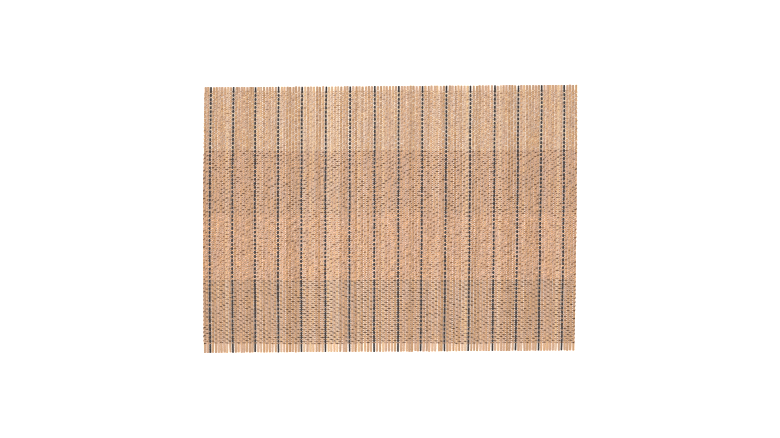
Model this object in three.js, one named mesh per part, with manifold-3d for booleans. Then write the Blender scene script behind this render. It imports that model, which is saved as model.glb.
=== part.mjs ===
// A bamboo placemat, lying flat: 127 thin sticks side by side, held by rows of yarn that pass
// over one stick and under the next. Every eighth stick is stained dark, and the yarn comes in
// four bands of colour across the sticks.
// Sizes are in millimetres. +X runs along the long side, +Y along the sticks, and +Z is up.
// The mat rests at z = 0, with the origin at the middle of its outline.
import * as THREE from "three";
import { mergeVertices } from "three/addons/utils/BufferGeometryUtils.js";
import Module from "manifold-3d";

// Driving dimensions
const STICK_LENGTH = 330;
const NATURAL_WIDTH = 2.8;
const DARK_WIDTH = 2.4;
const STICK_THICKNESS = 1.9;
const YARN_THICKNESS = 1;
const ROW_PITCH = 2.5;
const EVEN_PITCH = 3.66; // from stick to stick, in the even layout that shapes are drawn in
const RUN = 8; // one dark stick and the seven natural ones up to the next
const CLEARANCE = 0.3; // round each dark stick
const STICK_SLANT = 3; // how much further up the last stick lies than the first one
const STICK_MIDDLE = 0.4; // where the middle of an average stick lies
const FIELD_TOP = 159.6; // the upper edge of the first row of yarn

// Natural sticks outside the first and the last dark stick
const LEFT_MARGIN = { sticks: 2, pitch: 3.4 };
const RIGHT_MARGIN = { sticks: 4, pitch: 3.65 };

// Where each dark stick crosses the mat, at its top end, halfway and at its bottom end
const DARK_STICKS = [
  { top: -222.6, middle: -224.4, bottom: -223.6 },
  { top: -194.4, middle: -196.4, bottom: -195.5 },
  { top: -167.4, middle: -168.2, bottom: -167.6 },
  { top: -138.8, middle: -139.6, bottom: -139.0 },
  { top: -109.6, middle: -110.6, bottom: -110.4 },
  { top: -79.7, middle: -80.8, bottom: -80.6 },
  { top: -49.8, middle: -50.8, bottom: -50.9 },
  { top: -19.2, middle: -20.0, bottom: -20.3 },
  { top: 10.3, middle: 9.8, bottom: 9.4 },
  { top: 39.9, middle: 38.9, bottom: 37.5 },
  { top: 69.7, middle: 68.4, bottom: 66.8 },
  { top: 99.3, middle: 98.3, bottom: 96.5 },
  { top: 129.6, middle: 128.4, bottom: 126.4 },
  { top: 158.7, middle: 157.5, bottom: 155.1 },
  { top: 187.8, middle: 186.1, bottom: 183.6 },
  { top: 215.8, middle: 214.8, bottom: 212.2 },
];

// The bands of yarn, from the top edge to the bottom one, by their number of rows
const BANDS = [
  { yarn: "cream", rows: 30 },
  { yarn: "tan", rows: 31 },
  { yarn: "peach", rows: 33 },
  { yarn: "brown", rows: 32 },
];

// Heights above the table
const STICK_BOTTOM = YARN_THICKNESS;
const STICK_TOP = STICK_BOTTOM + STICK_THICKNESS;
const MAT_TOP = STICK_TOP + YARN_THICKNESS;
const VALLEY = 2.6; // the field's upper face between two sticks
const ABOVE_ALL = MAT_TOP + 2;

// Places along the sticks
const FIELD_LENGTH = ROW_PITCH * BANDS.reduce((sum, band) => sum + band.rows, 0);
const FIELD_BOTTOM = FIELD_TOP - FIELD_LENGTH;
const HALFWAY = (FIELD_TOP + FIELD_BOTTOM) / 2;
const BAR_LENGTH = 4 * ROW_PITCH; // yarn over a dark stick at each end of each band

// Widths across the sticks
const RIDGE_HALF = 0.8; // half of the flat top of the yarn over one stick
const BAR_WALL = 0.35; // how far the ridge over a dark stick reaches past its tunnel, each side
const EDGE_TURN = 0.3; // how far the yarn goes out round the outermost sticks
const SHOULDER = 0.7; // half of a dark stick's flat top and bottom
const ROOT = 1.5; // how far a stick's end reaches back into the field

const STICKS = LEFT_MARGIN.sticks + (DARK_STICKS.length - 1) * RUN + 1 + RIGHT_MARGIN.sticks;
const LAST_DARK = STICKS - 1 - RIGHT_MARGIN.sticks;

const NATURAL = new THREE.MeshStandardMaterial({ color: 0xcaa584, roughness: 0.85, metalness: 0 });
const DARK = new THREE.MeshStandardMaterial({ color: 0x33303a, roughness: 0.6, metalness: 0 });

const wasm = await Module();
wasm.setup();

// The line of dark stick number k at a height y: straight from each end to halfway.
function darkX(k, y) {
  const { top, middle, bottom } = DARK_STICKS[k];
  const share = Math.abs(y - HALFWAY) / (STICK_LENGTH / 2);
  return THREE.MathUtils.lerp(middle, y > HALFWAY ? top : bottom, share);
}

// The line of any stick: evenly spaced between two dark ones, or out from the first or last.
function stickX(i, y) {
  if (i < LEFT_MARGIN.sticks) {
    return darkX(0, y) - (LEFT_MARGIN.sticks - i) * LEFT_MARGIN.pitch;
  }
  if (i >= LAST_DARK) {
    return darkX(DARK_STICKS.length - 1, y) + (i - LAST_DARK) * RIGHT_MARGIN.pitch;
  }
  const runs = (i - LEFT_MARGIN.sticks) / RUN;
  const k = Math.floor(runs);
  return THREE.MathUtils.lerp(darkX(k, y), darkX(k + 1, y), runs - k);
}

// The middle of a stick along its length: it rises a little from the left edge to the right one.
function stickMiddle(i) {
  return STICK_MIDDLE + STICK_SLANT * (i / (STICKS - 1) - 0.5);
}

// Shapes are drawn with stick i at x = i * EVEN_PITCH. This moves each point along with its
// stick to where that stick really lies.
function lay(geometry) {
  const points = geometry.attributes.position;
  for (let n = 0; n < points.count; n++) {
    const x = points.getX(n);
    const i = THREE.MathUtils.clamp(Math.round(x / EVEN_PITCH), 0, STICKS - 1);
    points.setX(n, stickX(i, points.getY(n)) + x - i * EVEN_PITCH);
  }
  return geometry;
}

// A profile in x and z, made into a bar along y from the top down.
function barAlongY(profile, top, length, steps) {
  const shape = new THREE.Shape(profile.map(([x, z]) => new THREE.Vector2(x, z)));
  const bar = new THREE.ExtrudeGeometry(shape, { depth: length, steps, bevelEnabled: false });
  return bar.rotateX(Math.PI / 2).translate(0, top, 0);
}

// A profile in y and z, made into a plate across one stick.
function plateAcross(profile, x, width) {
  const shape = new THREE.Shape(profile.map(([y, z]) => new THREE.Vector2(y, z)));
  const plate = new THREE.ExtrudeGeometry(shape, { depth: width, bevelEnabled: false });
  return plate.rotateX(Math.PI / 2).rotateZ(Math.PI / 2).translate(x - width / 2, 0, 0);
}

function solidOf(geometry) {
  const bare = geometry.clone();
  bare.deleteAttribute("normal");
  bare.deleteAttribute("uv");
  const merged = mergeVertices(bare, 1e-4);
  return new wasm.Manifold(
    new wasm.Mesh({
      numProp: 3,
      vertProperties: merged.attributes.position.array,
      triVerts: new Uint32Array(merged.index.array),
    }),
  );
}

function geometryOf(solid) {
  const { vertProperties, triVerts } = solid.getMesh();
  const geometry = new THREE.BufferGeometry();
  geometry.setAttribute("position", new THREE.BufferAttribute(vertProperties, 3));
  geometry.setIndex(new THREE.BufferAttribute(triVerts, 1));
  geometry.computeVertexNormals();
  return geometry;
}

function isDark(i) {
  return i >= LEFT_MARGIN.sticks && i <= LAST_DARK && (i - LEFT_MARGIN.sticks) % RUN === 0;
}

// Half of the flat top of the ridge over a stick, which is wide enough to roof a dark one.
function ridgeHalf(i) {
  return isDark(i) ? DARK_WIDTH / 2 + CLEARANCE + BAR_WALL : RIDGE_HALF;
}

// The ribbed field: flat below, with a ridge of yarn over each stick and a valley between two.
function ribbedField() {
  const half = NATURAL_WIDTH / 2 + EDGE_TURN;
  const right = (STICKS - 1) * EVEN_PITCH + half;
  const profile = [
    [-half, 0],
    [right, 0],
    [right, STICK_TOP],
  ];
  for (let i = STICKS - 1; i >= 0; i--) {
    const x = i * EVEN_PITCH;
    profile.push([x + ridgeHalf(i), MAT_TOP], [x - ridgeHalf(i), MAT_TOP]);
    if (i > 0) {
      const left = x - EVEN_PITCH + ridgeHalf(i - 1);
      profile.push([(left + x - ridgeHalf(i)) / 2, VALLEY]);
    }
  }
  profile.push([-half, STICK_TOP]);
  return solidOf(lay(barAlongY(profile, FIELD_TOP, FIELD_LENGTH, 2)));
}

// The bare ends of a natural stick, beyond the yarn at the top and at the bottom.
function stickEnds(i) {
  const x = i * EVEN_PITCH;
  const half = NATURAL_WIDTH / 2;
  const section = [
    [x - half, STICK_BOTTOM],
    [x + half, STICK_BOTTOM],
    [x + half, STICK_TOP],
    [x - half, STICK_TOP],
  ];
  const top = stickMiddle(i) + STICK_LENGTH / 2;
  const bottom = top - STICK_LENGTH;
  return [
    barAlongY(section, top, top - FIELD_TOP + ROOT, 1),
    barAlongY(section, FIELD_BOTTOM + ROOT, FIELD_BOTTOM + ROOT - bottom, 1),
  ].map((end) => solidOf(lay(end)));
}

// The way of a dark stick through the field: a tunnel below the bars of yarn, open to the top
// between them. Each half of the mat has its own, because the stick bends slightly halfway.
function darkStickWay(i) {
  const floor = STICK_BOTTOM - CLEARANCE;
  const roof = STICK_TOP + CLEARANCE;
  const windows = [];
  let bandTop = FIELD_TOP;
  for (const { rows } of BANDS) {
    const bandBottom = bandTop - rows * ROW_PITCH;
    windows.push({ top: bandTop - BAR_LENGTH, bottom: bandBottom + BAR_LENGTH });
    bandTop = bandBottom;
  }
  const ends = [
    { top: STICK_LENGTH, bottom: HALFWAY },
    { top: HALFWAY, bottom: -STICK_LENGTH },
  ];
  const halves = ends.map(({ top, bottom }) => {
    const profile = [
      [bottom, floor],
      [top, floor],
      [top, roof],
    ];
    for (const window of windows.filter((w) => w.top < top && w.bottom > bottom)) {
      profile.push(
        [window.top, roof],
        [window.top, ABOVE_ALL],
        [window.bottom, ABOVE_ALL],
        [window.bottom, roof],
      );
    }
    profile.push([bottom, roof]);
    const width = DARK_WIDTH + 2 * CLEARANCE;
    return solidOf(lay(plateAcross(profile, i * EVEN_PITCH, width)));
  });
  return wasm.Manifold.union(halves);
}

function wovenField() {
  const joined = [ribbedField()];
  const cut = [];
  for (let i = 0; i < STICKS; i++) {
    if (isDark(i)) {
      cut.push(darkStickWay(i));
    } else {
      joined.push(...stickEnds(i));
    }
  }
  const field = wasm.Manifold.union(joined).subtract(wasm.Manifold.union(cut));
  return new THREE.Mesh(geometryOf(field), NATURAL);
}

// A dark stick, its corners cut, from end to end.
function darkStick(i) {
  const x = i * EVEN_PITCH;
  const half = DARK_WIDTH / 2;
  const middle = (STICK_BOTTOM + STICK_TOP) / 2;
  const section = [
    [x - SHOULDER, STICK_BOTTOM],
    [x + SHOULDER, STICK_BOTTOM],
    [x + half, middle],
    [x + SHOULDER, STICK_TOP],
    [x - SHOULDER, STICK_TOP],
    [x - half, middle],
  ];
  const bar = barAlongY(section, stickMiddle(i) + STICK_LENGTH / 2, STICK_LENGTH, 2);
  return new THREE.Mesh(lay(bar), DARK);
}

const placemat = new THREE.Group();
const field = wovenField();
field.name = "woven_field";
placemat.add(field);
for (let i = 0, number = 1; i < STICKS; i++) {
  if (isDark(i)) {
    const stick = darkStick(i);
    stick.name = `dark_stick_${String(number).padStart(2, "0")}`;
    placemat.add(stick);
    number += 1;
  }
}

const box = new THREE.Box3().setFromObject(placemat, true);
const centre = box.getCenter(new THREE.Vector3());
placemat.position.set(-centre.x, -centre.y, 0);

export default placemat;
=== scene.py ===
# %% [markdown]
# A bamboo placemat, woven stick by stick and row by row.
# The frame holds the mat's solids at their real size: one ribbed field, which stands for the
# natural sticks and the yarn, and sixteen dark sticks that lie in it. This lesson makes each
# stick and each row of yarn in the same places, so that the weave is a real shape. It shows how
# a few lines of array arithmetic can copy, bend and vary a small bmesh model many times.

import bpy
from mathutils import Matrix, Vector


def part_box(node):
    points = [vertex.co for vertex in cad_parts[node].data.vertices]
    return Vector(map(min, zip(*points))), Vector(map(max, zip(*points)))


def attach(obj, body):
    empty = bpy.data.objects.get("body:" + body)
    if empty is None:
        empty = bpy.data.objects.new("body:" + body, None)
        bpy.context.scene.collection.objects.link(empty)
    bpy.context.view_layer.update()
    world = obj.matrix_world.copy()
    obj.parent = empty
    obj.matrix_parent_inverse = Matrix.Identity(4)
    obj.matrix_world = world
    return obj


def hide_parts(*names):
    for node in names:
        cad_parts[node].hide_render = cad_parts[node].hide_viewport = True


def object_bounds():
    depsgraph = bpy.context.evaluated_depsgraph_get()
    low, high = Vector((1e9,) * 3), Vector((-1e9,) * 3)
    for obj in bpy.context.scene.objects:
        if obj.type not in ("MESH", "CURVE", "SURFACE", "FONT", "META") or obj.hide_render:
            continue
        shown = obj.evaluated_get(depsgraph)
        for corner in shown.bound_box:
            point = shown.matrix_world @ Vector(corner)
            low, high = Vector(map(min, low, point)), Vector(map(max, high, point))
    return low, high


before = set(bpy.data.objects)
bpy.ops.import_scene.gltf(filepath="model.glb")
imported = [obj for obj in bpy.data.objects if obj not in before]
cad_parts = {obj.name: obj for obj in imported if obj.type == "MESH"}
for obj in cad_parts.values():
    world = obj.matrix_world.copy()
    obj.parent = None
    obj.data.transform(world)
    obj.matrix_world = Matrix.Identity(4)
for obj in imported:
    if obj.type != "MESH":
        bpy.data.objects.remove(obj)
cad_box = [list(corner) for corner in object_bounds()]
print("frame:", len(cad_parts), "nodes, box in metres", cad_box)

# %% Libraries and units
import math

import bmesh
import bpy
import numpy as np
from mathutils import Matrix

MM = 0.001  # the mat's lengths are in millimetres here, and Blender's are in metres
RANDOM_SEED = 11
random = np.random.default_rng(RANDOM_SEED)
scene = bpy.context.scene

# %% [markdown]
# The camera hangs straight above the mat, as in the photograph. The picture is 780 pixels wide
# and one pixel covers 1.24 mm of the mat, so the lens and the sensor give the camera's height.
# The weave is hardly coarser than a pixel. A denoiser would take it for noise and smear it, so
# the denoiser is off, and the pixels are filtered a little more tightly than usual.

# %% Camera
PICTURE_WIDTH = 780
PIXEL = 1.24
LENS, SENSOR = 85, 36
LOOKS_AT = (-0.1, -0.15)  # the point of the mat under the middle of the picture
PIXEL_FILTER = 1.2

camera_data = bpy.data.cameras.new("camera")
camera_data.lens = LENS
camera_data.sensor_width = SENSOR
camera = bpy.data.objects.new("camera", camera_data)
mat_top = cad_box[1][2]
camera_height = mat_top + PICTURE_WIDTH * PIXEL * MM * LENS / SENSOR
camera.location = (LOOKS_AT[0] * MM, LOOKS_AT[1] * MM, camera_height)
scene.collection.objects.link(camera)
scene.camera = camera
scene.cycles.use_denoising = False
scene.cycles.filter_width = PIXEL_FILTER
print("camera", round(camera_height, 3), "m above the floor")

# %% [markdown]
# The light is that of a picture on a pure white ground: an even white surround, one wide soft
# lamp high up on the left, and a white floor that glows a little, as a light table does. The
# glow is what makes the slits between the sticks look bright. It is warm, because the light in
# a real slit has met bamboo and cotton on its way.

# %% Floor, surround and lamp
# The lamp's size and place and the floor's size are in metres.
SURROUND = 0.88
LAMP_WATTS = 60
LAMP_SIZE = 2.0
LAMP_PLACE = (-0.7, -0.3, 3.0)
FLOOR_SIZE = 8
FLOOR_WHITE = (0.93, 0.93, 0.93, 1)
FLOOR_ROUGHNESS = 0.9
FLOOR_GLOW = 0.44
GLOW_COLOUR = (1, 0.86, 0.72, 1)

scene.view_settings.view_transform = "Standard"
world = bpy.data.worlds.new("surround")
world.use_nodes = True
background = world.node_tree.nodes["Background"]
background.inputs["Color"].default_value = (1, 1, 1, 1)
background.inputs["Strength"].default_value = SURROUND
scene.world = world

lamp_data = bpy.data.lights.new("lamp", "AREA")
lamp_data.energy = LAMP_WATTS
lamp_data.size = LAMP_SIZE
lamp = bpy.data.objects.new("lamp", lamp_data)
lamp.location = LAMP_PLACE
lamp.rotation_euler = (-lamp.location).to_track_quat("-Z", "Y").to_euler()
scene.collection.objects.link(lamp)

floor_bm = bmesh.new()
bmesh.ops.create_grid(floor_bm, x_segments=1, y_segments=1, size=FLOOR_SIZE / 2)
floor_mesh = bpy.data.meshes.new("floor")
floor_bm.to_mesh(floor_mesh)
floor_bm.free()
floor_paint = bpy.data.materials.new("floor_paint")
floor_paint.use_nodes = True
floor_shader = floor_paint.node_tree.nodes["Principled BSDF"]
floor_shader.inputs["Base Color"].default_value = FLOOR_WHITE
floor_shader.inputs["Roughness"].default_value = FLOOR_ROUGHNESS
floor_shader.inputs["Emission Color"].default_value = GLOW_COLOUR
floor_shader.inputs["Emission Strength"].default_value = FLOOR_GLOW
floor_mesh.materials.append(floor_paint)
floor = bpy.data.objects.new("floor", floor_mesh)
scene.collection.objects.link(floor)
print("floor and lamp made")

# %% [markdown]
# Materials are written as sums. A Value wraps one socket of a node tree, so that a + b or
# 1 - mask adds the Math node for it. Every node comes from Paint.node, which takes the node's
# type, its settings and what its sockets hold. The same trees could be drawn by hand in the
# shader editor, but a sum is shorter to read and easier to change.

# %% Values
class Value:
    """A number or vector that varies over a surface: one output socket, with arithmetic."""

    def __init__(self, paint, socket):
        self.paint = paint
        self.socket = socket

    def math(self, operation, *others, swapped=False):
        operands = [self, *others]
        if swapped:
            operands.reverse()
        return self.paint.node("ShaderNodeMath", {"operation": operation}, operands)

    def __add__(self, other):
        return self.math("ADD", other)

    __radd__ = __add__

    def __sub__(self, other):
        return self.math("SUBTRACT", other)

    def __rsub__(self, other):
        return self.math("SUBTRACT", other, swapped=True)

    def __mul__(self, other):
        return self.math("MULTIPLY", other)

    __rmul__ = __mul__

    def __pow__(self, other):
        return self.math("POWER", other)

    def __abs__(self):
        return self.math("ABSOLUTE")


# %% Paints
MIX_SHARE, MIX_FIRST, MIX_SECOND, MIX_RESULT = 0, 6, 7, 2  # a Mix node's sockets for colours


class Paint:
    """A material under construction, with its Principled shader."""

    def __init__(self, name):
        self.material = bpy.data.materials.new(name)
        self.material.use_nodes = True
        self.tree = self.material.node_tree
        self.shader = self.tree.nodes["Principled BSDF"]

    def put(self, socket, value):
        if isinstance(value, Value):
            self.tree.links.new(value.socket, socket)
        else:
            socket.default_value = value

    def node(self, kind, settings=None, sockets=(), output=0):
        """A new node's output. sockets is a list in order, or a dictionary by name."""
        made = self.tree.nodes.new(kind)
        for key, value in (settings or {}).items():
            if key == "stops":
                self.set_stops(made.color_ramp.elements, value)
            else:
                setattr(made, key, value)
        pairs = sockets.items() if isinstance(sockets, dict) else enumerate(sockets)
        for key, value in pairs:
            self.put(made.inputs[key], value)
        return Value(self, made.outputs[output])

    def set_stops(self, elements, stops):
        while len(elements) < len(stops):
            elements.new(1)
        for element, (position, colour) in zip(elements, stops):
            element.position = position
            element.color = (*colour, 1)

    def parts(self, vector):
        """The three numbers of a vector."""
        first = self.node("ShaderNodeSeparateXYZ", sockets=[vector])
        return [Value(self, socket) for socket in first.socket.node.outputs]

    def vector(self, x, y, z):
        return self.node("ShaderNodeCombineXYZ", sockets=[x, y, z])

    def attribute(self, name, output="Vector"):
        return self.node("ShaderNodeAttribute", {"attribute_name": name}, output=output)

    def noise(self, place, seed, detail):
        """Smooth noise from 0 to 1, its own for each seed."""
        sockets = {"Vector": place, "W": seed, "Scale": 1, "Detail": detail}
        return self.node("ShaderNodeTexNoise", {"noise_dimensions": "4D"}, sockets)

    def rise(self, value, low, high):
        """0 below low, 1 above high, and a smooth rise between."""
        sockets = {"Value": value, "From Min": low, "From Max": high}
        return self.node("ShaderNodeMapRange", {"interpolation_type": "SMOOTHSTEP"}, sockets)

    def ramp(self, value, stops):
        return self.node("ShaderNodeValToRGB", {"stops": stops}, [value])

    def mix(self, share, first, second):
        """A colour between two colours."""
        first, second = (c if isinstance(c, Value) else (*c, 1) for c in (first, second))
        sockets = {MIX_SHARE: share, MIX_FIRST: first, MIX_SECOND: second}
        return self.node("ShaderNodeMix", {"data_type": "RGBA"}, sockets, output=MIX_RESULT)

    def finish(self, colour, roughness, height, depth, gloss):
        """Sets the shader's sockets. A height of 1 stands depth millimetres high."""
        self.put(self.shader.inputs["Base Color"], colour)
        self.put(self.shader.inputs["Roughness"], roughness)
        bump = self.node("ShaderNodeBump", sockets={"Distance": depth * MM, "Height": height})
        self.put(self.shader.inputs["Normal"], bump)
        self.shader.inputs["Specular IOR Level"].default_value = gloss
        return self.material


print("paint class ready")

# %% [markdown]
# The sticks keep the places that the solids give them. Each dark stick in the frame has three
# rings of points, at its two ends and halfway, so a smooth bend through those three is the line
# of that stick. Seven natural sticks stand evenly between two dark ones.

# %% Lines of the sticks
RUN = 8  # from one dark stick to the next
LEFT_STICKS, LEFT_PITCH = 2, 3.4
RIGHT_STICKS, RIGHT_PITCH = 4, 3.65
RING_DEPTH = 0.1  # a ring's points are no further from its place along the stick

dark_nodes = sorted(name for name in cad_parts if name.startswith("dark_stick_"))


def bend_of(node):
    """The three numbers of the curve x = a y y + b y + c through a stick's rings."""
    points = np.array([vertex.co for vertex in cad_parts[node].data.vertices]) / MM
    ring_ys = np.unique(points[:, 1].round(1))
    rings = [points[abs(points[:, 1] - y) < RING_DEPTH, 0] for y in ring_ys]
    return np.polyfit(ring_ys, [(x.min() + x.max()) / 2 for x in rings], 2)


dark_bends = np.array([bend_of(node) for node in dark_nodes])
last_dark = LEFT_STICKS + (len(dark_nodes) - 1) * RUN
stick_count = last_dark + 1 + RIGHT_STICKS
stick_numbers = np.arange(stick_count)
runs_across = (stick_numbers - LEFT_STICKS) / RUN
inside = np.clip(runs_across, 0, len(dark_nodes) - 1)
is_dark = (runs_across == inside) & (runs_across % 1 == 0)
dark_numbers = np.arange(len(dark_nodes))
bends = np.stack([np.interp(inside, dark_numbers, part) for part in dark_bends.T], axis=1)
bends[:, 2] += np.minimum(stick_numbers - LEFT_STICKS, 0) * LEFT_PITCH
bends[:, 2] += np.maximum(stick_numbers - last_dark, 0) * RIGHT_PITCH

first_box, last_box = (np.array(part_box(node)) / MM for node in (dark_nodes[0], dark_nodes[-1]))
stick_length = first_box[1][1] - first_box[0][1]
stick_thickness = first_box[1][2] - first_box[0][2]
stick_bottom = first_box[0][2]
first_middle, last_middle = first_box[:, 1].mean(), last_box[:, 1].mean()
slope = (last_middle - first_middle) / (last_dark - LEFT_STICKS)
stick_middles = first_middle + slope * (stick_numbers - LEFT_STICKS)
print(stick_count, "sticks,", is_dark.sum(), "of them dark,", round(stick_length, 1), "mm long")

# %% [markdown]
# No two sticks are alike. Each natural stick is a little wider or narrower, sits a little to
# one side, and strays most at its bare ends, where no yarn holds it. That unevenness makes the
# slits between the bare ends differ from one to the next.

# %% Unevenness of the sticks
STICK_WIDTH = 2.85
DARK_WIDTH = 2.45
WAVE_SIZE, WAVE_LENGTH = 0.12, 95
HELD = 0.88  # the share of the way to an end up to which the yarn holds a stick
LOOSENING = 1.5  # the power with which a stick strays more from there to its end

# Each of these is the usual size of a difference and its limit. The first two are shares of the
# stick's own width and thickness, and the others are millimetres.
WIDER_OR_NARROWER = (0.05, 0.12)
THINNER = (0.06, 0.12)
LONGER_OR_SHORTER = (0.4, 0.8)
TO_ONE_SIDE = (0.1, 0.2)
STRAY = (0.15, 0.3)
DARK_STRAY = (0.1, 0.2)


def spread(size, limit):
    """One seeded random number for each stick, none beyond the limit."""
    return np.clip(random.normal(0, size, stick_count), -limit, limit)


widths = np.where(is_dark, DARK_WIDTH, STICK_WIDTH * (1 + spread(*WIDER_OR_NARROWER)))
thicknesses = stick_thickness * (1 - np.where(is_dark, 0, abs(spread(*THINNER))))
lengths = stick_length + spread(*LONGER_OR_SHORTER)
sideways = np.where(is_dark, 0, spread(*TO_ONE_SIDE))
stray_top = np.where(is_dark, spread(*DARK_STRAY), spread(*STRAY))
stray_bottom = np.where(is_dark, spread(*DARK_STRAY), spread(*STRAY))
wave_starts = random.uniform(0, 2 * np.pi, stick_count)


def stick_x(number, y):
    """The middle of a stick across the mat, at a place along it."""
    a, b, c = bends[number].T
    along = 2 * (y - stick_middles[number]) / stick_length
    loose = np.clip((abs(along) - HELD) / (1 - HELD), 0, 1) ** LOOSENING
    stray = np.where(along > 0, stray_top[number], stray_bottom[number])
    wave = WAVE_SIZE * np.sin(2 * np.pi * y / WAVE_LENGTH + wave_starts[number])
    return a * y * y + b * y + c + sideways[number] + loose * stray + wave


print("widths from", widths.min().round(2), "to", widths.max().round(2), "mm")

# %% [markdown]
# A real stick is split from a cane and shaved down, so its section lies between a circle and a
# rectangle. One stick is modelled with bmesh: a round bar along Y with cut rims, parted into
# rings. An Array modifier could repeat it, but its copies would all be the same. Here the bar's
# points are copied as an array, and each copy gets its own width, section and line.

# %% One stick
SIDES = 10
CUTS = 23
RIM = 0.12
CLOSE = 0.01  # points nearer than this along a stick are at one place

stick_bm = bmesh.new()
bmesh.ops.create_cone(
    stick_bm, cap_ends=True, segments=SIDES, radius1=0.5, radius2=0.5, depth=stick_length
)
bmesh.ops.rotate(stick_bm, verts=stick_bm.verts, matrix=Matrix.Rotation(math.radians(-90), 3, "X"))
long_edges = [edge for edge in stick_bm.edges if edge.calc_length() > stick_length / 2]
bmesh.ops.subdivide_edges(stick_bm, edges=long_edges, cuts=CUTS)
end_y = stick_length / 2 - CLOSE
rims = [edge for edge in stick_bm.edges if min(abs(vertex.co.y) for vertex in edge.verts) > end_y]
bmesh.ops.bevel(
    stick_bm, geom=rims, offset=RIM, segments=1, profile=0.5, affect="EDGES", material=-1
)
bmesh.ops.recalc_face_normals(stick_bm, faces=stick_bm.faces)
stick_bm.verts.index_update()
stick_points = np.array([vertex.co for vertex in stick_bm.verts])
stick_faces = [[vertex.index for vertex in face.verts] for face in stick_bm.faces]
face_is_cap = [len(face) > 4 for face in stick_faces]
stick_bm.free()
print("one stick:", len(stick_points), "points,", len(stick_faces), "faces")

# %% [markdown]
# About half of the sticks cross a joint of the cane, where the stem is a little thicker. The
# copy's nearest rings move to the joint, so that the swelling has points to bend.

# %% Copies of the stick
SQUARENESS = 0.72
JOINT_SHARE = 0.5
JOINT_RISE = 0.06
JOINT_HALF = 2.2  # half the length of the swelling
JOINT_REACH = 140  # the furthest joint from a stick's middle
NO_JOINT = 500  # a place beyond every stick's end
END_PART = 2  # rings this near a stick's end stay where they are
SEED_RANGE = 500

has_joint = random.random(stick_count) < JOINT_SHARE
joint_places = random.uniform(-JOINT_REACH, JOINT_REACH, stick_count)
joint_places = np.where(has_joint, joint_places, NO_JOINT)
tones = random.normal(0, 1, stick_count)
seeds = random.uniform(0, SEED_RANGE, stick_count)


def one_copy(number):
    """A stick's points, the same points in its own straight frame, and its traits."""
    x, y, z = stick_points.T.copy()
    joint = joint_places[number]
    if joint != NO_JOINT:
        ring_ys = np.unique(y[abs(y) < stick_length / 2 - END_PART].round(3))
        nearest = np.sort(ring_ys[np.argsort(abs(ring_ys - joint))[:3]])
        for ring, new_y in zip(nearest, (joint - JOINT_HALF, joint, joint + JOINT_HALF)):
            y[abs(y - ring) < CLOSE] = new_y
    y *= lengths[number] / stick_length
    swell = 1 + JOINT_RISE * np.clip(1 - abs(y - joint) / JOINT_HALF, 0, 1)
    x = np.sign(x) * abs(2 * x) ** SQUARENESS / 2 * widths[number] * swell
    z = np.sign(z) * abs(2 * z) ** SQUARENESS / 2 * thicknesses[number] * swell
    place = np.stack([x, y, z], axis=1)
    along = y + stick_middles[number]
    middle = stick_bottom + thicknesses[number] / 2
    points = np.stack([stick_x(number, along) + x, along, middle + z], axis=1)
    traits = np.array([tones[number], seeds[number], joint])
    return points, place, np.tile(traits, (len(y), 1))


# %% [markdown]
# A stick's surface is also laid out flat, as a strip, in a map of its own. Colours can then be
# stored as a picture of the strips. Blender could unwrap the sticks by itself, but not so closely
# packed. A single long stick is cut into several strips that stand side by side, which fills the
# square picture better.

# %% Strips of the sticks
ONCE_ROUND = 7.5  # the way round a stick's section, in millimetres
MANY_STICKS = 20  # with more sticks than this, the strips stand in two rows
STRIP_EDGE = 0.03
CAP_PLACE = 0.01  # how far from a strip's end the middle of a cut end lies
CAP_WIDTH, CAP_HEIGHT = 0.3, 0.008


def stick_strips(count):
    """The flat map of some sticks: one pair of numbers for each corner of each face."""
    parts = max(1, round(math.sqrt(stick_length / (ONCE_ROUND * count))))
    columns = math.ceil(count * parts / (2 if count > MANY_STICKS else 1))
    levels = math.ceil(count * parts / columns)
    corners = []
    for number in range(count):
        for face, is_cap in zip(stick_faces, face_is_cap):
            spots = stick_points[face]
            middle_share = spots[:, 1].mean() / stick_length + 0.5
            part = min(int(middle_share * parts), parts - 1)
            cell = number * parts + part
            turns = np.arctan2(spots[:, 2], spots[:, 0]) / (2 * np.pi) % 1
            if is_cap:
                cap_middle = CAP_PLACE if middle_share < 0.5 else 1 - CAP_PLACE
                around = 0.5 + CAP_WIDTH * np.cos(2 * np.pi * turns)
                upward = cap_middle + CAP_HEIGHT * np.sin(2 * np.pi * turns)
            else:
                turns = np.where((np.ptp(turns) > 0.5) & (turns < 0.5), turns + 1, turns)
                around = STRIP_EDGE + (1 - 2 * STRIP_EDGE) * turns
                share = (spots[:, 1] / stick_length + 0.5) * parts - part
                upward = STRIP_EDGE + (1 - 2 * STRIP_EDGE) * share
            across = (cell % columns + around) / columns
            up = (cell // columns + upward) / levels
            corners.append(np.stack([across, up], axis=1))
    return np.concatenate(corners)


# %% Meshes from arrays
def add_mesh(name, points, faces):
    """A new smooth mesh object, from points in millimetres."""
    mesh = bpy.data.meshes.new(name)
    mesh.from_pydata((points * MM).tolist(), [], faces)
    mesh.polygons.foreach_set("use_smooth", np.ones(len(mesh.polygons), bool))
    obj = bpy.data.objects.new(name, mesh)
    scene.collection.objects.link(obj)
    return obj


def add_attribute(obj, name, values):
    """One number or three for each point of the mesh, for a paint to read."""
    kind, key = ("FLOAT", "value") if values.ndim == 1 else ("FLOAT_VECTOR", "vector")
    layer = obj.data.attributes.new(name, kind, "POINT")
    layer.data.foreach_set(key, values.astype(np.float32).ravel())


def add_map(obj, name, corners):
    """A flat map of the mesh, from one pair of numbers for each corner of each face."""
    layer = obj.data.uv_layers.new(name=name)
    layer.uv.foreach_set("vector", corners.astype(np.float32).ravel())


# %% [markdown]
# The natural sticks are one piece, because 111 objects would be slow to handle and all have the
# same finish. Each stained stick is a piece of its own, as it is in the frame.

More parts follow.
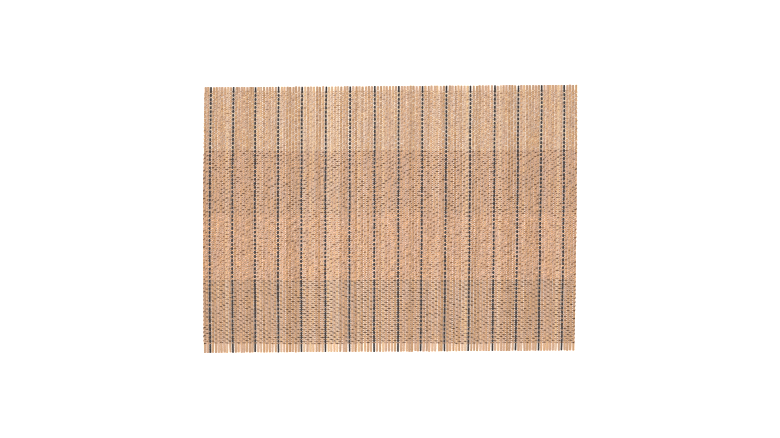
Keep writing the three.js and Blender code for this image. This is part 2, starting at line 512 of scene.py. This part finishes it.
# %% Joined sticks
def join_sticks(name, numbers):
    """One mesh of sticks, which carries each point's own place and its stick's traits."""
    copies = [one_copy(number) for number in numbers]
    points, places, traits = (np.concatenate(part) for part in zip(*copies))
    count = len(stick_points)
    faces = [[v + n * count for v in face] for n in range(len(numbers)) for face in stick_faces]
    obj = add_mesh(name, points, faces)
    add_attribute(obj, "stick_place", places)
    add_attribute(obj, "stick_traits", traits)
    add_map(obj, "OFBake", stick_strips(len(numbers)))
    return obj


natural_sticks = join_sticks("natural_sticks", stick_numbers[~is_dark])
dark_sticks = [
    join_sticks(f"stained_stick_{n + 1:02d}", [number])
    for n, number in enumerate(stick_numbers[is_dark])
]
print("natural sticks:", len(natural_sticks.data.polygons), "faces")
print("one dark stick:", len(dark_sticks[0].data.polygons), "faces")

# %% [markdown]
# Bare bamboo is a bundle of long fibres. Its colour runs from straw to a pinkish or orange tan,
# from one stick to the next and slowly along each, with fine darker streaks. The cane's joints
# are brown rings, and a cut end shows the fibres as dots. A photograph of bamboo could be laid on
# the sticks, but it would repeat. Noise in each stick's own frame, stretched along its length,
# never does.

# %% Grain
# How fast each noise changes across a stick and along it.
STREAKS, PATCHES, PORES, TINTS = (5, 0.11), (1.1, 0.03), (7, 0.35), (0.1, 0.045)
DOTS = 6
PATCH_SEED, PORE_SEED, DOT_SEED = 40, 90, 3  # so that no two noises are the same
TINT_SEED, TINT_SEED_STEP = 60, 7


def stretched(paint, place, rates):
    """A place on a stick as noise reads it, drawn out along the stick."""
    x, y, z = place
    across, along = rates
    return paint.vector(x * across, y * along, z * across)


def grain(paint, place, seed):
    """A stick's streaks, patches and pores, the dots of a cut end, and where a cut end is."""
    fine = paint.noise(stretched(paint, place, STREAKS), seed, detail=3)
    coarse = paint.noise(stretched(paint, place, PATCHES), seed + PATCH_SEED, detail=2)
    pores = paint.noise(stretched(paint, place, PORES), seed + PORE_SEED, detail=1)
    x, _, z = place
    dots = paint.noise(paint.vector(x * DOTS, seed, z * DOTS), DOT_SEED, detail=1)
    _, normal_y, _ = paint.parts(paint.node("ShaderNodeNewGeometry", output="Normal"))
    cut_end = paint.rise(abs(normal_y), 0.8, 0.95)
    return fine, coarse, pores, dots, cut_end


# %% [markdown]
# Neither bamboo nor dyed cotton is one hue all over. Both are a little more orange in some places
# and a little more pink in others. One more noise multiplies a finished colour by a faint tint,
# which leaves it about as light as before.

# %% Tint
ORANGE_TINT = (1.05, 0.985, 0.86)
PINK_TINT = (0.98, 0.99, 1.11)


def tinted(paint, colour, place, seed):
    """The colour, more orange in some places and pinker in others."""
    tint = paint.ramp(paint.noise(place, seed, detail=1), [(0.4, ORANGE_TINT), (0.6, PINK_TINT)])
    settings = {"data_type": "RGBA", "blend_type": "MULTIPLY"}
    sockets = {MIX_SHARE: 1, MIX_FIRST: colour, MIX_SECOND: tint}
    return paint.node("ShaderNodeMix", settings, sockets, output=MIX_RESULT)


# %% Bamboo
ORANGE_TAN = (0.42, 0.232, 0.107)
TAN = (0.465, 0.281, 0.150)
PINKISH = (0.53, 0.316, 0.188)
STRAW = (0.625, 0.435, 0.26)
JOINT_BROWN = (0.24, 0.12, 0.05)
END_BROWN = (0.42, 0.26, 0.13)


def bamboo():
    """The finish of the natural sticks."""
    paint = Paint("bamboo")
    place = paint.parts(paint.attribute("stick_place"))
    tone, seed, joint = paint.parts(paint.attribute("stick_traits"))
    fine, coarse, pores, dots, cut_end = grain(paint, place, seed)
    shade = 0.5 + tone * 0.265 + (coarse - 0.5) * 1.1
    stops = [(0.05, ORANGE_TAN), (0.35, TAN), (0.6, PINKISH), (0.95, STRAW)]
    colour = paint.ramp(shade, stops)
    colour = paint.mix(paint.rise(fine, 0.45, 0.72) * 0.35, colour, ORANGE_TAN)
    colour = paint.mix(paint.rise(pores, 0.62, 0.74) * 0.3, colour, JOINT_BROWN)
    from_joint = abs(place[1] - joint)
    ring = (1 - paint.rise(from_joint, 0.3, 1.4)) * 0.55
    colour = paint.mix(ring, colour, JOINT_BROWN)
    colour = paint.mix(cut_end * (0.35 + dots * 0.6), colour, END_BROWN)
    own_seed = TINT_SEED + tone * TINT_SEED_STEP
    colour = tinted(paint, colour, stretched(paint, place, TINTS), own_seed)
    height = fine * 0.7 + pores * 0.3 + ring
    return paint.finish(colour, 0.48 + fine * 0.25, height, depth=0.1, gloss=0.5)


natural_sticks.data.materials.append(bamboo())
print("natural sticks painted")

# %% [markdown]
# A stained stick is the same bamboo, dyed almost black. The dye takes less on the hard fibres and
# soaks in unevenly, so a few streaks and the cut ends are a dark brown.

# %% Stained bamboo
STAIN_BLACK = (0.010, 0.008, 0.009)
STAIN_GREY = (0.026, 0.020, 0.021)
WORN_STAIN = (0.11, 0.08, 0.06)
STAINED_END = (0.10, 0.065, 0.04)


def stained_bamboo():
    """The finish of the dark sticks."""
    paint = Paint("stained_bamboo")
    place = paint.parts(paint.attribute("stick_place"))
    _, seed, _ = paint.parts(paint.attribute("stick_traits"))
    fine, coarse, pores, dots, cut_end = grain(paint, place, seed)
    colour = paint.ramp(coarse, [(0.3, STAIN_BLACK), (0.75, STAIN_GREY)])
    colour = paint.mix(paint.rise(fine, 0.55, 0.8) * 0.3, colour, WORN_STAIN)
    colour = paint.mix(cut_end * (0.2 + dots * 0.6), colour, STAINED_END)
    height = fine * 0.7 + pores * 0.3
    return paint.finish(colour, 0.42 + fine * 0.3, height, depth=0.1, gloss=0.4)


stain = stained_bamboo()
for stick in dark_sticks:
    stick.data.materials.append(stain)
print(len(dark_sticks), "stained sticks painted")

# %% [markdown]
# The yarn is one thread for each band of colour. It goes across the mat over one stick and
# under the next, turns round the outermost stick, and comes back in the next row the other way
# round. A picture of a weave on a flat sheet would be lighter to render, but from near by and
# from the side only a real thread shows the slits, the crossings and the turns at the edge.

# %% The four yarns
ROW_PITCH = 2.5
FIELD_TOP = 159.2  # half a step above the uppermost row, before the rows sway

# Sizes are in millimetres. A twist of 1 or -1 is its direction. Shades are in steps of a fifth of
# the way from a yarn's darkest colour to its lightest, and plies is the share of that way that
# lies between its two plies. The lift of the yarn in the slits is painted light: the yarn is
# painted that much lighter where it dips into a slit, as if the glowing floor shone through it.
BANDS = {
    "cream": {
        "rows": 30, "width": 1.58, "thickness": 0.95, "lean": -0.03, "twist": 1,
        "shades": 0.3, "painted_slit_light": 1.3, "plies": 0.6, "colour": (0.59, 0.382, 0.252),
    },
    "tan": {
        "rows": 31, "width": 1.82, "thickness": 0.95, "lean": -0.03, "twist": 1,
        "shades": 1.0, "painted_slit_light": 2.6, "plies": 1.2, "colour": (0.39, 0.221, 0.132),
    },
    "peach": {
        "rows": 33, "width": 1.85, "thickness": 0.95, "lean": -0.02, "twist": 1,
        "shades": 0.5, "painted_slit_light": 1.8, "plies": 0.8, "colour": (0.52, 0.282, 0.166),
    },
    "brown": {
        "rows": 32, "width": 1.6, "thickness": 0.9, "lean": 0.07, "twist": -1,
        "shades": 2.4, "painted_slit_light": 2.4, "plies": 0.8, "colour": (0.285, 0.163, 0.096),
    },
}

band_ends = np.cumsum([band["rows"] for band in BANDS.values()])
band_starts = band_ends[:-1]
print(band_ends[-1], "rows of yarn from y =", FIELD_TOP, "mm down")

# %% [markdown]
# The rows aren't straight, because the sticks grip the yarn but don't hold it at even steps. The
# rows rise a little to the right, wave slowly across the mat and ripple here and there. Each
# could get a random line of its own, but neighbours would then cross. So the sway is worked out
# from the place on the mat, which makes neighbours sway together.

# %% Sway of the rows
RISE, RISE_PER_MM = 0.55, 0.0022
WAVE_DOWN_THE_MAT = (0.3, 45, 240)  # height, crest and length
WAVE_ACROSS_THE_MAT = (-0.45, -95, 185)
RIPPLE = 0.2
RIPPLE_X, RIPPLE_Y = 9.3, 17
SHIFT_X, SHIFT_Y = 31, 29  # the ripples shift with these, so that they don't form a grid


def slow_wave(place, height, crest, length):
    return height * np.cos(2 * np.pi * (place - crest) / length)


def sway(x, y):
    """How far a row strays from straight at a place, which its neighbours share."""
    tilt = RISE + RISE_PER_MM * x
    waves = slow_wave(y, *WAVE_DOWN_THE_MAT) + slow_wave(x, *WAVE_ACROSS_THE_MAT)
    ripple_across = np.sin(x / RIPPLE_X + 2 * np.sin(y / SHIFT_Y))
    ripple_down = np.sin(y / RIPPLE_Y - x / SHIFT_X)
    return tilt + waves + RIPPLE * ripple_across * ripple_down


end_sways = [round(float(sway(corner[0] / MM, 0)), 2) for corner in cad_box]
print("sway of the middle row at its two ends:", end_sways, "mm")

# %% [markdown]
# A row's path is worked out stick by stick: two points on each stick, above or below it, and one
# in the slit between two sticks. Each stick lifts or drops all rows by a hair, and each crossing
# has a fault of its own. Over each stick the yarn also leans a little: down to the right in the
# brown band, up in the others.
# A yarn's shade differs from one crossing to the next. Where it dips into a slit it is painted
# lighter, as painted light from the glowing floor shining through the thin yarn. Each band but
# the uppermost begins with a darker row.

# %% One row
HOLD = 0.7  # from a stick's middle to where the yarn leaves its top
BORDER_SHADE = -1.2
ROW_SHADES = 0.1
STICK_LIFT, CROSSING_FAULT = 0.22, 0.09

stick_lifts = random.normal(0, STICK_LIFT, stick_count)


def row_path(row, yarn):
    """The points of one row from left to right, and how light the yarn is at each."""
    y = FIELD_TOP - (row + 0.5) * ROW_PITCH
    x = stick_x(stick_numbers, y)
    over = (stick_numbers + row) % 2 == 1
    above = stick_bottom + thicknesses + yarn["thickness"] / 2
    below = stick_bottom - yarn["thickness"] / 2
    level = np.where(over, above, below)
    shade = random.normal(0, yarn["shades"], stick_count) + random.normal(0, ROW_SHADES)
    # painted light: the yarn is painted lighter in each slit, as if lit from the floor below
    painted_slit_light = random.normal(yarn["painted_slit_light"], yarn["shades"], stick_count - 1)
    if row in band_starts:
        shade = shade / 2 + BORDER_SHADE
    shift = stick_lifts + random.normal(0, CROSSING_FAULT, stick_count)
    in_slit = [(values[:-1] + values[1:]) / 2 for values in (x, level, shift)]

    def at_points(on_left, on_right, between):
        """Values in the path's order: left and right on each stick, then the slit."""
        triples = np.column_stack([on_left[:-1], on_right[:-1], between]).ravel()
        return np.append(triples, [on_left[-1], on_right[-1]])

    path_x = at_points(x - HOLD, x + HOLD, in_slit[0])
    path_z = at_points(level, level, in_slit[1])
    shades = at_points(shade, shade, painted_slit_light)
    lean = np.where(over, yarn["lean"], -yarn["lean"])
    path_y = y + sway(path_x, y) + at_points(shift + lean, shift - lean, in_slit[2] - lean[:-1])
    return np.stack([path_x, path_y, path_z, shades], axis=1)


print("the sticks lift the rows by up to", abs(stick_lifts).max().round(2), "mm")

# %% [markdown]
# At the edge the yarn goes half round the outermost stick and on into the next row. So a band's
# rows, every second one turned about, and the turns between them join into one long path.

# %% One thread
TURN_STEPS = 7
TURN_REACH = 0.75  # how far the yarn goes out round the outermost stick


def turn(start, end, outward):
    """Half a round from one row's end to the next row's start, outside the last stick."""
    angles = np.pi * (np.arange(TURN_STEPS) + 1) / (TURN_STEPS + 1)
    share = (1 - np.cos(angles)) / 2
    points = start + (end - start) * share[:, None]
    points[:, 0] += outward * TURN_REACH * np.sin(angles)
    return points


def thread(first_row, yarn):
    """The path of one yarn, and the numbers of the points where a flat strip of it begins."""
    pieces, cuts, count = [], [], 0
    for row in range(first_row, first_row + yarn["rows"]):
        points = row_path(row, yarn)
        if row % 2:
            points = points[::-1]
        if pieces:
            pieces.append(turn(pieces[-1][-1], points[0], 1 if row % 2 else -1))
            count += TURN_STEPS
        cuts += [count, count + len(points) // 2]
        pieces.append(points)
        count += len(points)
    return np.concatenate(pieces), cuts


# %% [markdown]
# A section with seven sides is carried along the path. It is flat and wide where the yarn lies
# on a stick and rounder in the slits, and its width varies as spun yarn does. A curve with a
# bevel could make a cord too, but its section could only grow or shrink as a whole.

# %% Yarn tubes
YARN_SIDES = 7
SLUB, SLUB_LIMIT = 0.08, 0.2  # how much thicker or thinner the yarn is, as a share
SLUB_LENGTH = 3.5
PINCH, PRESS = 0.65, 0.1  # how much narrower and lower the yarn is where it goes straight down


def unit(vectors):
    return vectors / np.linalg.norm(vectors, axis=1)[:, None]


def rings_along(path, yarn):
    """The points of the yarn's rings, and how far along the yarn each ring is."""
    ahead = unit(np.gradient(path, axis=0))
    across = unit(np.array([0, 1, 0]) - ahead * ahead[:, 1:2])
    up = np.cross(ahead, across)
    steps = np.linalg.norm(np.diff(path, axis=0), axis=1)
    along = np.append(0, np.cumsum(steps))
    knots = np.arange(0, along[-1] + SLUB_LENGTH, SLUB_LENGTH)
    knot_slubs = np.clip(random.normal(0, SLUB, len(knots)), -SLUB_LIMIT, SLUB_LIMIT)
    slubs = 1 + np.interp(along, knots, knot_slubs)
    steepness = ahead[:, 2] ** 2
    half_width = yarn["width"] / 2 * slubs * (1 - PINCH * steepness)
    half_height = yarn["thickness"] / 2 * (1 - PRESS * steepness)
    angles = 2 * np.pi * (np.arange(YARN_SIDES) + 0.5) / YARN_SIDES
    sideways_part = across[:, None] * (np.cos(angles)[:, None] * half_width[:, None, None])
    upward_part = up[:, None] * (np.sin(angles)[:, None] * half_height[:, None, None])
    points = (path[:, None] + sideways_part + upward_part).reshape(-1, 3)
    points[:, 2] = np.maximum(points[:, 2], 0)  # no lower than the floor
    return points, along


def tube_faces(count):
    """The faces of a tube with some number of rings, and of its two ends."""
    ring = np.arange(count - 1)[:, None] * YARN_SIDES
    side = np.arange(YARN_SIDES)[None]
    following = (side + 1) % YARN_SIDES
    ahead_ring = ring + YARN_SIDES
    corners = [ring + side, ring + following, ahead_ring + following, ahead_ring + side]
    quads = np.stack(corners, axis=-1).reshape(-1, 4).tolist()
    first_end = list(range(YARN_SIDES))[::-1]
    last_end = list(range((count - 1) * YARN_SIDES, count * YARN_SIDES))
    return [*quads, first_end, last_end]


# %% [markdown]
# Two maps go with a yarn. One goes once round it, with the way along in millimetres, and the
# twist follows that. The other lays half rows out as strips, one above the other, so that the
# colours can be stored as a picture of the yarn.

# %% Maps of the yarn
STRIP_FILL = 0.94
STRIPS_TOP = 0.985  # the strips end here, and the two ends of the yarn lie above them
FIRST_END, LAST_END = (0.02, 0.993), (0.05, 0.993)
END_RADIUS = 0.005


def yarn_maps(along, cuts):
    """Two maps of a tube, with one pair of numbers for each corner of each face."""
    count = len(along)
    segment = np.arange(count - 1)
    strip = np.searchsorted(cuts, segment, side="right") - 1
    starts = along[np.array(cuts)]
    longest = np.diff(np.append(starts, along[-1])).max()
    left = (along[:-1] - starts[strip]) / longest
    right = (along[1:] - starts[strip]) / longest
    side = np.arange(YARN_SIDES)
    low, high = side / YARN_SIDES, (side + 1) / YARN_SIDES
    turns = np.broadcast_to(np.stack([low, high, high, low], axis=-1), (count - 1, YARN_SIDES, 4))
    flat_x = np.broadcast_to(np.stack([left, left, right, right], axis=-1)[:, None], turns.shape)
    flat_y = (strip[:, None, None] + STRIP_FILL * turns) / len(cuts) * STRIPS_TOP
    lengths_mm = np.stack([along[:-1], along[:-1], along[1:], along[1:]], axis=-1)
    lengths_mm = np.broadcast_to(lengths_mm[:, None], turns.shape)
    corner_turns = (np.arange(YARN_SIDES) + 0.5) / YARN_SIDES
    corner_angles = 2 * np.pi * corner_turns
    disc = END_RADIUS * np.stack([np.cos(corner_angles), np.sin(corner_angles)], axis=1)
    ends_flat = np.concatenate([disc[::-1] + FIRST_END, disc + LAST_END])
    ends_round = np.stack([np.tile(corner_turns, 2), np.repeat([0, along[-1]], YARN_SIDES)], axis=1)
    flat = np.stack([flat_x, flat_y], axis=-1).reshape(-1, 2)
    twist = np.stack([turns, lengths_mm], axis=-1).reshape(-1, 2)
    return np.concatenate([flat, ends_flat]), np.concatenate([twist, ends_round])


def weave(name, first_row, yarn):
    """One yarn with all its rows, as a closed tube."""
    path, cuts = thread(first_row, yarn)
    points, along = rings_along(path[:, :3], yarn)
    obj = add_mesh(name, points, tube_faces(len(path)))
    add_attribute(obj, "yarn_shade", np.repeat(path[:, 3], YARN_SIDES))
    flat_map, twist_map = yarn_maps(along, cuts)
    add_map(obj, "twist", twist_map)
    add_map(obj, "OFBake", flat_map)
    print(name, round(along[-1] * MM, 1), "m of yarn,", len(obj.data.polygons), "faces")
    return obj


yarns = {}
first_row = 0
for yarn_name, yarn in BANDS.items():
    yarns[yarn_name] = weave(f"{yarn_name}_yarn", first_row, yarn)
    first_row += yarn["rows"]

# %% [markdown]
# The yarn is two plies of soft cotton twisted together, one of them darker than the other, which
# gives the mat its slanting flecks. The twist map gives the turn round the yarn, so the turn
# plus the way along, in turns, is the same all along one ply. The groove between the plies is
# painted darker, as painted shade. The fibres follow the twist, each crossing is lighter or
# darker than the next, and the yarn is painted lighter in the slits, as painted light.

# %% Yarn paint
DARK_SHARE = (0.34, 0.29, 0.25)  # of the yarn's colour, in its red, green and blue
LIGHT_SHARE = (1.75, 1.85, 2.0)
LIGHTEST = 0.86
TWIST_LENGTH = 6.5
DRIFT_TURNS, DRIFT_RATE = 3, 0.12  # how far the twist runs ahead or behind, and how fast
PLY_EDGE = 0.35
SHADE_STEP = 0.2
FIBRE_SHADES, FLECK_SHADES = 0.2, 0.1
FIBRES, HAIRS, FLECKS = (4, 0.5), (11, 1.6), (1, 0.7)  # how fast each changes round and along
TINTS_PER_METRE = 80


def yarn_paint(name, yarn):
    """The finish of one yarn."""
    paint = Paint(f"{name}_cotton")
    around, along, _ = paint.parts(paint.node("ShaderNodeUVMap", {"uv_map": "twist"}))
    # the yarn's tone at each crossing, with painted light where it dips into the slits
    shade = paint.attribute("yarn_shade", output="Fac")
    drift = paint.noise(paint.vector(along * DRIFT_RATE, 0, 0), 5, detail=1) * DRIFT_TURNS
    angle = (around + along * (yarn["twist"] / TWIST_LENGTH) + drift) * (2 * math.pi)
    round_x, round_y = angle.math("COSINE"), angle.math("SINE")
    ply = abs(round_y)
    dark_ply = paint.rise(round_y, -PLY_EDGE, PLY_EDGE)

    def cotton(rates, seed, detail):
        """Noise that follows the twist."""
        round_rate, along_rate = rates
        place = paint.vector(round_x * round_rate, round_y * round_rate, along * along_rate)
        return paint.noise(place, seed, detail)

    fibres = cotton(FIBRES, seed=1, detail=2)
    hairs = cotton(HAIRS, seed=2, detail=2)
    flecks = cotton(FLECKS, seed=3, detail=1)
    level = 0.5 + shade * SHADE_STEP + (0.5 - dark_ply) * yarn["plies"]
    level += (fibres - 0.5) * FIBRE_SHADES + (flecks - 0.5) * FLECK_SHADES
    colour = yarn["colour"]
    darkest = [part * share for part, share in zip(colour, DARK_SHARE)]
    lightest = [min(part * share, LIGHTEST) for part, share in zip(colour, LIGHT_SHARE)]
    base = paint.ramp(level, [(0, darkest), (0.5, colour), (1, lightest)])
    # painted shade: the groove between the plies is darkened towards the yarn's darkest colour
    painted_groove_shade = (1 - paint.rise(ply, 0.05, 0.5)) * 0.4
    base = paint.mix(painted_groove_shade, base, darkest)
    x, y, _ = paint.parts(paint.node("ShaderNodeTexCoord", output="Object"))
    base = tinted(paint, base, paint.vector(x * TINTS_PER_METRE, y * TINTS_PER_METRE, 0), 8)
    height = ply ** 0.6 + hairs * 0.35 + fibres * 0.3
    return paint.finish(base, 0.8 + hairs * 0.15, height, depth=0.22, gloss=0.15)


for yarn_name, yarn in BANDS.items():
    yarns[yarn_name].data.materials.append(yarn_paint(yarn_name, yarn))
print("yarns painted")

# %% [markdown]
# Last, each piece is tied to the frame. The natural sticks and the four yarns stand in for the
# ribbed field, and each dark stick for its own solid.

# %% Riding on the frame
for piece in (natural_sticks, *yarns.values()):
    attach(piece, "root")
    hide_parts("woven_field")
for stick, node in zip(dark_sticks, dark_nodes):
    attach(stick, "root")
    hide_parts(node)
